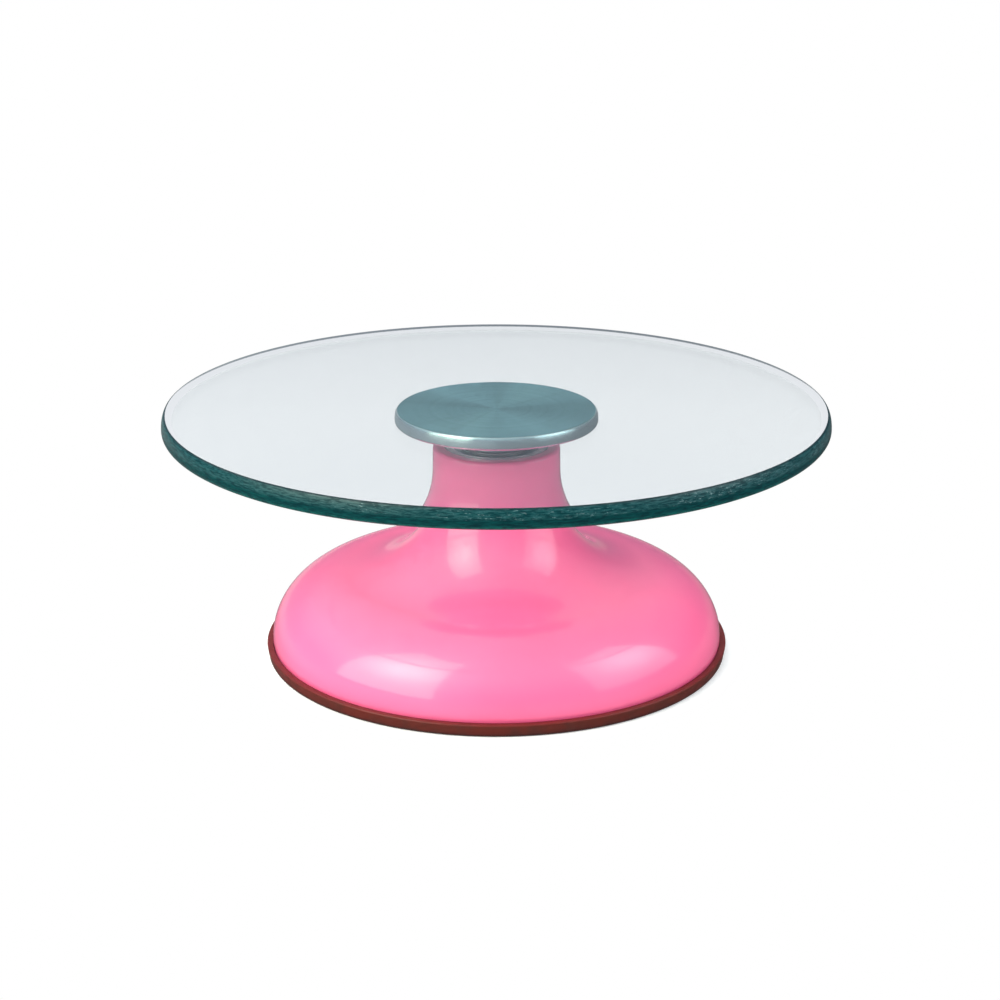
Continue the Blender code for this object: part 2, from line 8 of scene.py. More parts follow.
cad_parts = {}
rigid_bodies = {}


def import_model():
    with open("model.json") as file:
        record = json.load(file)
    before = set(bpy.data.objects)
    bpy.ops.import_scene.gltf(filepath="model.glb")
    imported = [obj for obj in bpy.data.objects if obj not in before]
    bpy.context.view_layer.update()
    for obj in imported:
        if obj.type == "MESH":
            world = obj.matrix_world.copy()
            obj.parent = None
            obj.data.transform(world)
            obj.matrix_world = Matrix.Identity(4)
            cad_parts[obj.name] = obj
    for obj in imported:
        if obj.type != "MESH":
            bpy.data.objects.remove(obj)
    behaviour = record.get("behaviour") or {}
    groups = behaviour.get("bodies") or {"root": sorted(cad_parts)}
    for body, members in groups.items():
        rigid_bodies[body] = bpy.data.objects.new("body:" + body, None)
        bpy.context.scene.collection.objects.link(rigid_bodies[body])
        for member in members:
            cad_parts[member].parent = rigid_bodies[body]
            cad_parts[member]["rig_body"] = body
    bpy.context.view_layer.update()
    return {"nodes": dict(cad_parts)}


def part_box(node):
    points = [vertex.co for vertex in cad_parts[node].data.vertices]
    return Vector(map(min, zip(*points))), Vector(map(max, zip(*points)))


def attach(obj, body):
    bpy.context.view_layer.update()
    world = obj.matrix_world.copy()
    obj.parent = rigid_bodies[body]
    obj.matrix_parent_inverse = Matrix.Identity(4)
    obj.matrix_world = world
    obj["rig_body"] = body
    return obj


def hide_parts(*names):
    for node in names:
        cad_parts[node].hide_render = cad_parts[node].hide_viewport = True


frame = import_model()

MM = 0.001
WHITE = (1, 1, 1, 1)

# Meshes. A face longer than HOLD_LENGTH gets extra points at the distance HOLD from its ends.
SEGMENTS = 192
SMALL_SEGMENTS = 96
HOLE_SEGMENTS = 32
SHARP_ANGLE = radians(35)
MERGE = 1e-7
HOLD = 0.06 * MM
HOLD_LENGTH = 3.0 * MM

# The floor's brightness: seen directly near the foot, as it lights the object, as the object
# mirrors it near the foot and further off, and behind the glass from near to far.
FLOOR_GLOW = 0.2
FLOOR_BOUNCE = 0.22
FLOOR_MIRRORED = (0.2, 0.38)
BACKLIGHT = ((1.34, 1.18, 1.20, 1), (1.46, 1.28, 1.29, 1))

# The world's level from the front to the back, the same in mirrored views, and from left to right.
# Its colour goes from the horizon's to the ceiling's.
WORLD_LEVEL = (0.92, 1.85)
WORLD_MIRRORED = (0.95, 0.8)
WORLD_SIDES = (2.1, 0.5)
HORIZON = (0.14, 0.16, 0.21, 1)
CEILING = (0.79, 0.80, 0.81, 1)

# Softboxes: the point they face and their distance from it. In degrees: the width of their faded
# edges, the reach of their bright middle, and how far the panel goes past what it lights.
SOFTBOX_AIM = (0, 0, 0.04)
SOFTBOX_DISTANCE = 1.0
SOFTBOX_SOFTNESS = 3.5
SOFTBOX_CORE = 26.0
SOFTBOX_MARGIN = 2

# Camera: focal length and sensor width in millimetres, place in metres, and degrees downward.
FOCAL_LENGTH = 81.4
SENSOR_WIDTH = 36.0
CAMERA_PLACE = (0.0016, -0.981, 0.396)
CAMERA_TILT = 18.35

# Sizes read from the frame.
plate_low, plate_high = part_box("glass_plate")
hub_low, hub_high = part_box("hub_flange")
shell_low, shell_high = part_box("base_shell")
foot_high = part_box("foot_ring")[1]
PLATE_RADIUS = plate_high.x
PLATE_TOP = plate_high.z
PLATE_BOTTOM = plate_low.z
HUB_RADIUS = hub_high.x
HUB_TOP = hub_high.z
BOSS_BOTTOM = hub_low.z
NECK_TOP = shell_high.z
RIM_BOTTOM = shell_low.z
FOOT_RADIUS = foot_high.x
FOOT_HEIGHT = foot_high.z

# Plate and hub. Each of their edge curves is a quarter ellipse of this width and height.
PLATE_UPPER_EDGE = (1.9 * MM, 6.0 * MM)
PLATE_LOWER_EDGE = (4.7 * MM, 3.6 * MM)
BOND_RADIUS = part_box("bond_film")[1].x
HUB_UNDERSIDE = 100.7 * MM
HUB_UPPER_EDGE = (1.2 * MM, 4.0 * MM)
HUB_LOWER_EDGE = (1.2 * MM, 1.6 * MM)
BOSS_RADIUS = 17.5 * MM
BORE_RADIUS = 10.0 * MM
BORE_TOP = 103.0 * MM
FIT_GAP = 0.05 * MM
FACE_GAP = 0.3 * MM
SCREW_RADIUS = 2.5 * MM
SCREW_HEIGHT = 95.6 * MM
SCREW_ANGLES = (60, 120)

# Base casting: a dome and a cove that sweeps up into the neck.
NECK_RADIUS = 28.92 * MM
NECK_EDGE = 1.8 * MM
WALL = 4.0 * MM
COVE_CENTRE = (70.5 * MM, 79.4 * MM)
COVE_RADIUS = 41.44 * MM
COVE_END = 268.4
DOME_CENTRE = (68.1 * MM, 6.9 * MM)
DOME_WIDTH = shell_high.x - DOME_CENTRE[0]
DOME_HEIGHT = 31.1 * MM
DOME_START = 88.0
RIM_TAPER = 0.5 * MM
FOOT_DRAFT = 0.7 * MM
TUBE_RADIUS = 28.0 * MM
TUBE_BOTTOM = 22.0 * MM
TUBE_RELIEF_RADIUS = 21.0 * MM
SEAT_RADIUS = 23.5 * MM
SEAT_GROOVE_RADIUS = 24.7 * MM
RIB_COUNT = 4
RIB_HALF = 2.0 * MM
RIB_BOTTOM = 14.0 * MM
RIB_BEND_RADIUS = 60.0 * MM
RIB_ROUNDING = 1.2 * MM

# Foot ring.
FOOT_EDGE = 0.8 * MM
FOOT_LIP = 0.35 * MM
FOOT_INNER_RADIUS = 95.5 * MM
FOOT_INNER_HEIGHT = 4.6 * MM

# Spindle.
SPINDLE_CHAMFER = 0.8 * MM
RING_SEAT_RADIUS = 9.15 * MM
GRIP_RADIUS = 9.6 * MM
GRIP_HALF = 2.2 * MM
CENTRE_HOLE = 1.6 * MM

# Bearings. Their middles lie halfway up the outer races.
BALL_COUNT = 8
BEARING_HALF = 7.0 * MM
PITCH_RADIUS = 16.75 * MM
BALL_RADIUS = 3.969 * MM
GROOVE_RADIUS = 4.13 * MM
OUTER_LAND_RADIUS = 19.6 * MM
INNER_LAND_RADIUS = 14.2 * MM
RACE_CHAMFER = 0.6 * MM
SHIELD_SEAT_RADIUS = 20.5 * MM
SHIELD_SEAT_HEIGHT = 5.2 * MM
SHIELD_INNER_RADIUS = 14.75 * MM
SHEET = 0.3 * MM
CAGE_INNER_RADIUS = 15.9 * MM
POCKET_RADIUS = 4.2 * MM
BEARINGS = {name: sum(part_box(f"{name}_outer_race"), Vector()).z / 2 for name in ("upper", "lower")}


def linear(red, green, blue):
    """A colour given in 0 to 255 sRGB values, as shaders want it."""
    return (*Color((red / 255, green / 255, blue / 255)).from_srgb_to_scene_linear(), 1.0)


# Geometry -----------------------------------------------------------------------------------


def arc(centre, width, height, start, end, steps):
    """Points on an ellipse's arc in the (radius, height) plane, from start to end in degrees."""
    angles = [radians(start + (end - start) * i / steps) for i in range(steps + 1)]
    return [(centre[0] + width * cos(a), centre[1] + height * sin(a)) for a in angles]


def held(profile, closed):
    """The profile with points added close to each long side's ends, so that its face shades flat."""
    found = []
    count = len(profile)
    for i, point in enumerate(profile):
        found.append(point)
        if i + 1 == count and not closed:
            break
        start, end = Vector(point), Vector(profile[(i + 1) % count])
        length = (end - start).length
        if length > HOLD_LENGTH:
            found.append(tuple(start.lerp(end, HOLD / length)))
            found.append(tuple(end.lerp(start, HOLD / length)))
    return found


def turn(profile, segments, closed=True):
    """Spins a (radius, height) profile about Z. An open profile starts and ends on the axis."""
    build = bmesh.new()
    points = [build.verts.new((radius, 0, height)) for radius, height in held(profile, closed)]
    edges = [build.edges.new(pair) for pair in zip(points, points[1:])]
    if closed:
        edges.append(build.edges.new((points[-1], points[0])))
    bmesh.ops.spin(
        build,
        geom=points + edges,
        cent=(0, 0, 0),
        axis=(0, 0, 1),
        angle=2 * pi,
        steps=segments,
        use_merge=True,
    )
    bmesh.ops.remove_doubles(build, verts=build.verts[:], dist=MERGE)
    return build


def rounded(points, radius, steps=4):
    """The closed profile with each corner rounded to at most this radius."""
    found = []
    count = len(points)
    for i, corner in enumerate(points):
        corner = Vector(corner)
        before = Vector(points[i - 1]) - corner
        after = Vector(points[(i + 1) % count]) - corner
        reach = min(radius, before.length * 0.45, after.length * 0.45)
        start = corner + before.normalized() * reach
        end = corner + after.normalized() * reach
        for step in range(steps + 1):
            t = step / steps
            found.append(tuple(start * (1 - t) ** 2 + corner * 2 * t * (1 - t) + end * t**2))
    return found


def ring_section(inner, outer, bottom, top):
    """A plain ring's rectangular section."""
    return [(outer, top), (outer, bottom), (inner, bottom), (inner, top)]


def add_mesh(name, build, materials, pick=None):
    """Makes an object of a bmesh. pick gives each face's material number from its centre and normal."""
    bmesh.ops.recalc_face_normals(build, faces=build.faces[:])
    if pick is not None:
        for face in build.faces:
            face.material_index = pick(face.calc_center_median(), face.normal)
    mesh = bpy.data.meshes.new(name)
    build.to_mesh(mesh)
    build.free()
    for material in materials:
        mesh.materials.append(material)
    mesh.shade_smooth()
    mesh.set_sharp_from_angle(angle=SHARP_ANGLE)
    added = bpy.data.objects.new(name, mesh)
    bpy.context.scene.collection.objects.link(added)
    return added


def stand_for(node, piece):
    """The piece takes the CAD node's place on its body."""
    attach(piece, frame["nodes"][node]["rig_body"])
    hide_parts(node)
    return piece


def boolean(piece, build, operation, material):
    """Joins or cuts the piece with this bmesh, and applies it."""
    tool = add_mesh(f"{piece.name}_tool", build, [material])
    modifier = piece.modifiers.new("shape", "BOOLEAN")
    modifier.operation = operation
    modifier.object = tool
    modifier.solver = "EXACT"
    bpy.context.view_layer.update()
    evaluated = piece.evaluated_get(bpy.context.evaluated_depsgraph_get())
    shaped = bpy.data.meshes.new_from_object(evaluated)
    piece.modifiers.clear()
    piece.data = shaped
    bpy.data.objects.remove(tool, do_unlink=True)
    shaped.shade_smooth()
    shaped.set_sharp_from_angle(angle=SHARP_ANGLE)


def radial_cylinder(build, radius, reach, angle, height):
    """A cylinder that points outward at this angle in degrees, between the two radii in reach."""
    outward = Matrix.Rotation(radians(angle), 4, "Z") @ Matrix.Rotation(pi / 2, 4, "Y")
    place = Matrix.Translation((0, 0, height)) @ outward
    bmesh.ops.create_cone(
        build,
        cap_ends=True,
        segments=HOLE_SEGMENTS,
        radius1=radius,
        radius2=radius,
        depth=reach[1] - reach[0],
        matrix=place @ Matrix.Translation((0, 0, sum(reach) / 2)),
    )


# Materials ----------------------------------------------------------------------------------


class Nodes:
    """A node tree, with short calls for the few kinds of node used here."""

    def __init__(self, tree):
        self.nodes = tree.nodes
        self.links = tree.links

    def add(self, kind, inputs=None, **settings):
        """A new node. inputs maps a socket's name or number to a value or to another node's output."""
        made = self.nodes.new(kind)
        for key, value in settings.items():
            setattr(made, key, value)
        for key, value in (inputs or {}).items():
            self.feed(made.inputs[key], value)
        return made

    def feed(self, socket, value):
        if isinstance(value, bpy.types.NodeSocket):
            self.links.new(value, socket)
        else:
            socket.default_value = value

    def math(self, operation, first, second=0.0):
        return self.add("ShaderNodeMath", {0: first, 1: second}, operation=operation).outputs[0]

    def vector(self, operation, first, second=(0, 0, 0)):
        """A vector operation's outputs: "Vector", or "Value" where the result is a number."""
        inputs = {0: first, 1: second}
        return self.add("ShaderNodeVectorMath", inputs, operation=operation).outputs

    def split(self, vector):
        """A vector's parts, under "X", "Y" and "Z"."""
        return self.add("ShaderNodeSeparateXYZ", {0: vector}).outputs

    def spread(self, value, low, high, to_low, to_high, kind="SMOOTHSTEP"):
        """Maps a value from low..high to to_low..to_high, held at the ends."""
        names = ("Value", "From Min", "From Max", "To Min", "To Max")
        inputs = dict(zip(names, (value, low, high, to_low, to_high)))
        return self.add("ShaderNodeMapRange", inputs, interpolation_type=kind).outputs[0]

    def blend(self, share, first, second):
        """A colour between two colours."""
        mixed = self.add("ShaderNodeMix", data_type="RGBA")
        self.feed(mixed.inputs["Factor"], share)
        self.feed(mixed.inputs[6], first)
        self.feed(mixed.inputs[7], second)
        return mixed.outputs[2]

    def between(self, share, first, second):
        """A shader between two shaders."""
        return self.add("ShaderNodeMixShader", {0: share, 1: first, 2: second}).outputs[0]

    def shader_of(self, kind, **inputs):
        """A plain shader node's output."""
        return self.add(f"ShaderNode{kind}", inputs).outputs[0]


class Tree(Nodes):
    """A new material and its Principled shader. Patterns sit in the object's own space."""

    def __init__(self, name):
        self.material = bpy.data.materials.new(name)
        self.material.use_nodes = True
        super().__init__(self.material.node_tree)
        self.shader = self.nodes["Principled BSDF"]
        self.output = self.nodes["Material Output"]
        self.place = self.add("ShaderNodeTexCoord").outputs["Object"]

    def set(self, **values):
        """Sets the Principled shader's sockets, with _ for a space in a name."""
        for key, value in values.items():
            self.feed(self.shader.inputs[key.replace("_", " ")], value)

    def scaled(self, scale):
        """Object coordinates, stretched by a number or by three."""
        each = (scale,) * 3 if isinstance(scale, (int, float)) else scale
        return self.add("ShaderNodeMapping", {"Vector": self.place, "Scale": each}).outputs[0]

    def noise(self, scale, detail=3.0, roughness=0.55, vector=None):
        inputs = {"Scale": scale, "Detail": detail, "Roughness": roughness}
        inputs["Vector"] = vector or self.place
        return self.add("ShaderNodeTexNoise", inputs).outputs["Fac"]

    def across(self):
        """Object coordinates without their height."""
        return self.vector("MULTIPLY", self.place, (1, 1, 0))["Vector"]

    def radius(self):
        """Distance from the turning axis, in metres."""
        return self.vector("LENGTH", self.across())["Value"]

    def outward(self):
        """The direction away from the turning axis, which is the same all along a radius."""
        return self.vector("NORMALIZE", self.across())["Vector"]

    def height(self):
        return self.split(self.place)["Z"]

    def show(self, surface):
        """Makes this shader the material's surface."""
        self.links.new(surface, self.output.inputs["Surface"])

    def circles(self, pitch):
        """Fine rings round the axis, each pitch metres apart, uneven in depth."""
        along = self.add("ShaderNodeCombineXYZ", {0: self.radius()}).outputs[0]
        return self.noise(1 / pitch, 2.0, 0.6, along)

    def bump(self, height, strength, distance, under=None):
        inputs = {"Height": height, "Strength": strength, "Distance": distance}
        if under is not None:
            inputs["Normal"] = under
        return self.add("ShaderNodeBump", inputs).outputs[0]


def lets_light_through(tree, surface, tint=WHITE):
    """Lamps shine through the surface, tinted, instead of casting its shadow."""
    is_shadow = tree.add("ShaderNodeLightPath").outputs["Is Shadow Ray"]
    tree.show(tree.between(is_shadow, surface, tree.shader_of("BsdfTransparent", Color=tint)))


def face_glass():
    """The plate's polished faces, with the faint smears and dust of use."""
    tree = Tree("plate_face_glass")
    smears = tree.noise(1.0, 4.0, 0.6, tree.scaled((9, 24, 9)))
    tree.set(
        Base_Color=(0.80, 0.953, 0.955, 1),
        Roughness=tree.spread(smears, 0.45, 0.75, 0.0, 0.018),
        IOR=1.52,
        Transmission_Weight=1.0,
    )
    lets_light_through(tree, tree.shader.outputs[0])
    return tree.material


def bonded_glass():
    """The plate's underside where the adhesive wets it, which neither bends nor mirrors light."""
    tree = Tree("plate_bonded_glass")
    film = tree.spread(tree.noise(140, 3.0), 0.4, 0.7, 0, 1)
    tree.set(
        Base_Color=tree.blend(film, WHITE, (0.97, 0.985, 0.985, 1)),
        Roughness=0.0,
        IOR=1.0,
        Transmission_Weight=1.0,
    )
    lets_light_through(tree, tree.shader.outputs[0])
    return tree.material


def ground_edge_glass():
    """The plate's ground rim: dark green depth under a matt, chipped and scratched surface, with
    painted bounce light low down, a painted sheen high up and a painted dark line along the top arris.
    From within the glass, only its upper part shows, as a grey line."""
    tree = Tree("plate_ground_edge")
    streaks = tree.noise(230, 5.0, 0.7, tree.scaled((1, 1, 7)))
    dashes = tree.noise(330, 6.0, 0.75, tree.scaled((1, 1, 9)))
    patches = tree.spread(tree.noise(22, 3.0), 0.4, 0.6, 0, 1)
    grain = tree.noise(2600, 2.0, 0.6)
    height = tree.height()
    upper = tree.spread(height, PLATE_TOP - 5.2 * MM, PLATE_TOP - 3.6 * MM, 0, 1)
    lower = tree.spread(height, PLATE_BOTTOM + 1.2 * MM, PLATE_BOTTOM + 3.4 * MM, 1, 0)
    colour = tree.blend(tree.spread(streaks, 0.35, 0.65, 0, 1), linear(0, 38, 44), linear(0, 62, 64))
    # Lighter green towards the bottom: painted bounce light from the floor below.
    glow = tree.math("MULTIPLY", lower, tree.spread(streaks, 0.4, 0.62, 0.15, 0.9))
    colour = tree.blend(glow, colour, linear(0, 84, 80))
    # Lighter grey-teal on the curved upper part: a painted sheen where it faces the lamps.
    painted_sheen = tree.math("MULTIPLY", upper, tree.spread(streaks, 0.4, 0.62, 0.1, 0.5))
    colour = tree.blend(painted_sheen, colour, linear(24, 84, 90))
    flecks = tree.math("MULTIPLY", upper, tree.spread(dashes, 0.58, 0.64, 0, 0.8))
    flecks = tree.math("MULTIPLY", flecks, patches)
    colour = tree.blend(flecks, colour, linear(140, 172, 176))
    # A thin dark line along the top arris: painted shade.
    arris_painted_shade = tree.spread(height, PLATE_TOP - 0.7 * MM, PLATE_TOP - 0.3 * MM, 0, 0.8)
    colour = tree.blend(arris_painted_shade, colour, linear(8, 40, 46))
    shine = tree.math("MULTIPLY", upper, tree.spread(streaks, 0.42, 0.62, 0.06, 0.3))
    normal = tree.bump(grain, 0.15, 0.00004)
    normal = tree.bump(streaks, 0.3, 0.0001, normal)
    tree.set(
        Base_Color=colour,
        Roughness=tree.spread(streaks, 0.35, 0.7, 0.3, 0.4),
        Specular_IOR_Level=tree.math("ADD", shine, 0.06),
        IOR=1.52,
        Normal=normal,
    )
    inside = tree.add("ShaderNodeNewGeometry").outputs["Backfacing"]
    lit_through = tree.shader_of("BsdfTranslucent", Color=(0.24, 0.27, 0.28, 1))
    clear = tree.shader_of("BsdfTransparent", Color=(0.82, 0.88, 0.89, 1))
    rim = tree.spread(height, PLATE_TOP - 7.8 * MM, PLATE_TOP - 6.4 * MM, 0, 1)
    surface = tree.between(inside, tree.shader.outputs[0], tree.between(rim, clear, lit_through))
    lets_light_through(tree, surface, (0.85, 0.92, 0.92, 1))
    return tree.material


def adhesive():
    """Clear cured film with small bubbles."""
    tree = Tree("clear_adhesive")
    bubbles = tree.spread(tree.noise(300, 2.0), 0.5, 0.8, 0, 1)
    tree.set(
        Base_Color=tree.blend(bubbles, WHITE, (0.93, 0.96, 0.95, 1)),
        Roughness=0.02,
        IOR=1.02,
        Transmission_Weight=1.0,
    )
    lets_light_through(tree, tree.shader.outputs[0])
    return tree.material


def turned_metal(name, colour, roughness, pitch, anisotropic=0.75, depth=0.3, metallic=1.0, wear_and_painted_fans=0.5):
    """Metal cut in a lathe: fine rings, and highlights drawn out across them. wear is how far the tone
    varies from ring to ring and, in painted fan-shaped highlights, round the axis; depth is how
    strongly the rings show."""
    tree = Tree(name)
    rings = tree.circles(pitch)
    wide = tree.circles(pitch * 9)
    stain = tree.noise(90, 4.0)
    shade = tree.math("ADD", tree.math("MULTIPLY", rings, 0.8), tree.math("MULTIPLY", wide, 0.2))
    dull = tuple(value * 0.76 for value in colour[:3]) + (1,)
    tone = tree.blend(tree.spread(shade, 0.3, 0.7, 0, wear_and_painted_fans), colour, dull)
    tone = tree.blend(tree.spread(stain, 0.55, 0.8, 0, 0.2), tone, dull)
    # Broad lighter and darker sectors round the axis: painted fan-shaped highlights.
    painted_fans = tree.noise(1.6, 3.0, 0.6, tree.outward())
    tone = tree.blend(tree.spread(painted_fans, 0.42, 0.58, 0, wear_and_painted_fans), tone, dull)
    tangent = tree.add("ShaderNodeTangent", direction_type="RADIAL", axis="Z").outputs[0]
    tree.set(
        Base_Color=tone,
        Metallic=metallic,
        Roughness=tree.spread(wide, 0.3, 0.7, roughness * 0.8, roughness * 1.25),
        Anisotropic=anisotropic,
        Anisotropic_Rotation=0.25,
        Tangent=tangent,
        Normal=tree.bump(rings, depth, 0.00002),
    )
    return tree.material


def enamel():
    """Gloss pink stoving enamel, with a trace of orange peel and the odd speck under the gloss."""
    tree = Tree("pink_enamel")
    clouds = tree.noise(16, 3.0)
    cells = tree.add("ShaderNodeTexVoronoi", {"Vector": tree.place, "Scale": 170.0})
    specks = tree.spread(cells.outputs["Distance"], 0.02, 0.05, 0.35, 0)
    cloudy = tree.spread(clouds, 0.3, 0.7, 0, 1)
    colour = tree.blend(cloudy, linear(252, 109, 159), linear(249, 103, 153))
    colour = tree.blend(specks, colour, linear(216, 78, 124))
    peel = tree.noise(520, 2.0)
    swell = tree.noise(45, 2.0)
    normal = tree.bump(peel, 0.05, 0.0001)
    normal = tree.bump(swell, 0.08, 0.0004, normal)
    tree.set(
        Base_Color=colour,
        Roughness=tree.spread(clouds, 0.3, 0.7, 0.28, 0.36),
        IOR=1.5,
        Coat_Weight=1.0,
        Coat_Roughness=0.06,
        Coat_IOR=1.5,
        Normal=normal,
        Coat_Normal=normal,
    )
    return tree.material


def overspray():
    """The casting's unseen side: sand-cast grain under a thin, uneven pink coat."""
    tree = Tree("casting_overspray")
    grain = tree.noise(700, 4.0, 0.7)
    cover = tree.noise(26, 4.0)
    thin = tree.spread(cover, 0.35, 0.7, 0, 1)
    colour = tree.blend(thin, linear(226, 116, 160), linear(190, 112, 138))
    colour = tree.blend(tree.spread(grain, 0.58, 0.8, 0, 0.4), colour, linear(150, 130, 134))
    tree.set(
        Base_Color=colour,
        Roughness=tree.spread(grain, 0.3, 0.7, 0.5, 0.78),
        Normal=tree.bump(grain, 0.5, 0.0004),
    )
    return tree.material


def rubber():
    """Dark red-brown foot ring, satin, with painted shade towards the table and painted bounce light
    from the pink casting along its top edge.
    """
    tree = Tree("brown_rubber")
    mottle = tree.noise(120, 4.0)
    grain = tree.noise(1400, 2.0)
    colour = tree.blend(tree.spread(mottle, 0.35, 0.7, 0, 1), linear(94, 31, 24), linear(80, 33, 27))
    # Darker towards the table: painted shade near the floor.
    low = tree.spread(tree.height(), 0.2 * MM, 2.2 * MM, 0.7, 0)
    colour = tree.blend(low, colour, linear(44, 30, 30))
    # Redder along the top: painted bounce light from the pink casting.
    upper = tree.spread(tree.height(), FOOT_HEIGHT - 1.0 * MM, FOOT_HEIGHT, 0, 0.6)
    colour = tree.blend(upper, colour, linear(118, 28, 30))
    tree.set(
        Base_Color=colour,
        Roughness=tree.spread(mottle, 0.3, 0.7, 0.36, 0.52),
        Specular_IOR_Level=0.3,
        Normal=tree.bump(grain, 0.25, 0.00008),
    )
    return tree.material


def worn_steel(name, colour, roughness, speckle):
    """Steel with a mottled surface film, for springs, cages and black screws."""
    tree = Tree(name)
    film = tree.noise(380, 4.0, 0.65)
    grain = tree.noise(1800, 2.0)
    tone = tree.blend(tree.spread(film, 0.35, 0.7, 0, 1), colour, speckle)
    tree.set(
        Base_Color=tone,
        Metallic=0.9,
        Roughness=tree.spread(film, 0.3, 0.7, roughness * 0.8, roughness * 1.3),
        Normal=tree.bump(grain, 0.2, 0.00004),
    )
    return tree.material


# Pieces -------------------------------------------------------------------------------------


def edge_curves(radius, bottom, top, upper_edge, lower_edge):
    """The outer side of a disc, from its top face to its underside, between two quarter ellipses."""
    width, height = upper_edge
    upper = arc((radius - width, top - height), width, height, 90, 0, 14)
    width, height = lower_edge
    return upper, arc((radius - width, bottom + height), width, height, 0, -90, 12)


def add_plate():
    """The glass disc, ground round its edge."""
    edges = (PLATE_UPPER_EDGE, PLATE_LOWER_EDGE)
    upper, lower = edge_curves(PLATE_RADIUS, PLATE_BOTTOM, PLATE_TOP, *edges)
    inner = [(BOND_RADIUS, PLATE_BOTTOM), (0, PLATE_BOTTOM)]
    profile = [(0, PLATE_TOP), (BOND_RADIUS, PLATE_TOP), *upper, *lower[1:], *inner]

    def pick(centre, normal):
        radius = Vector((centre.x, centre.y)).length
        if radius > lower[-1][0] and centre.z < PLATE_TOP - 0.01 * MM:
            return 1
        return 2 if radius < BOND_RADIUS and centre.z < PLATE_BOTTOM + MM else 0

    materials = [face_glass(), ground_edge_glass(), bonded_glass()]
    plate = add_mesh("glass_plate_fine", turn(profile, 2 * SEGMENTS, False), materials, pick)
    stand_for("glass_plate", plate)


def add_bond():
    """The film of adhesive between the glass and the hub."""
    low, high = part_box("bond_film")
    profile = [(0, high.z), (BOND_RADIUS, high.z), (BOND_RADIUS, low.z), (0, low.z)]
    film = add_mesh("bond_film_fine", turn(profile, SEGMENTS, False), [adhesive()])
    stand_for("bond_film", film)


def add_hub():
    """The disc under the glass, with its boss, a blind bore and two holes for the grub screws."""
    edges = (HUB_UPPER_EDGE, HUB_LOWER_EDGE)
    upper, lower = edge_curves(HUB_RADIUS, HUB_UNDERSIDE, HUB_TOP, *edges)
    fillet = 1.0 * MM
    root = arc((BOSS_RADIUS + fillet, HUB_UNDERSIDE - fillet), fillet, fillet, 90, 180, 6)
    boss = [
        *root,
        (BOSS_RADIUS, BOSS_BOTTOM + 0.5 * MM),
        (BOSS_RADIUS - 0.15 * MM, BOSS_BOTTOM + 0.15 * MM),
        (BOSS_RADIUS - 0.5 * MM, BOSS_BOTTOM),
        (BORE_RADIUS + 0.3 * MM, BOSS_BOTTOM),
        (BORE_RADIUS, BOSS_BOTTOM + 0.3 * MM),
    ]
    profile = [(0, HUB_TOP), *upper, *lower, *boss, (BORE_RADIUS, BORE_TOP), (0, BORE_TOP)]

    def pick(centre, normal):
        radius = Vector((centre.x, centre.y)).length
        return 1 if centre.z > HUB_TOP - 0.01 * MM and radius < upper[0][0] else 0

    side = turned_metal("turned_aluminium", linear(238, 244, 248), 0.25, 0.00022, 0.9, wear_and_painted_fans=0.3)
    # The top face is a darker, teal copy of the side's aluminium: painted shade and tint for the face
    # seen through the glass.
    top = turned_metal(
        "turned_aluminium_bonded_painted_shade", linear(108, 143, 154), 0.5, 0.0003, 0.92, metallic=0.55, wear_and_painted_fans=0.7
    )
    hub = add_mesh("hub_flange_fine", turn(profile, SEGMENTS, False), [side, top], pick)
    holes = bmesh.new()
    for angle in SCREW_ANGLES:
        reach = (BORE_RADIUS - 2 * MM, BOSS_RADIUS + 2 * MM)
        radial_cylinder(holes, SCREW_RADIUS + FIT_GAP, reach, angle, SCREW_HEIGHT)
    boolean(hub, holes, "DIFFERENCE", side)
    stand_for("hub_flange", hub)


def shell_outline(offset, cove_start, cove_steps, dome_steps):
    """The casting's cove and dome, from the neck down, moved inward by offset."""
    radius = COVE_RADIUS + offset
    cove = arc(COVE_CENTRE, radius, radius, cove_start, COVE_END, cove_steps)
    width = DOME_WIDTH - offset
    height = DOME_HEIGHT - offset
    return cove, arc(DOME_CENTRE, width, height, DOME_START, 0, dome_steps)


def cove_angle(offset, radius):
    """The angle in degrees at which the cove, moved inward by offset, comes to this radius."""
    across = (COVE_CENTRE[0] - radius) / (COVE_RADIUS + offset)
    return degrees(atan2(-sqrt(1 - across**2), -across)) + 360


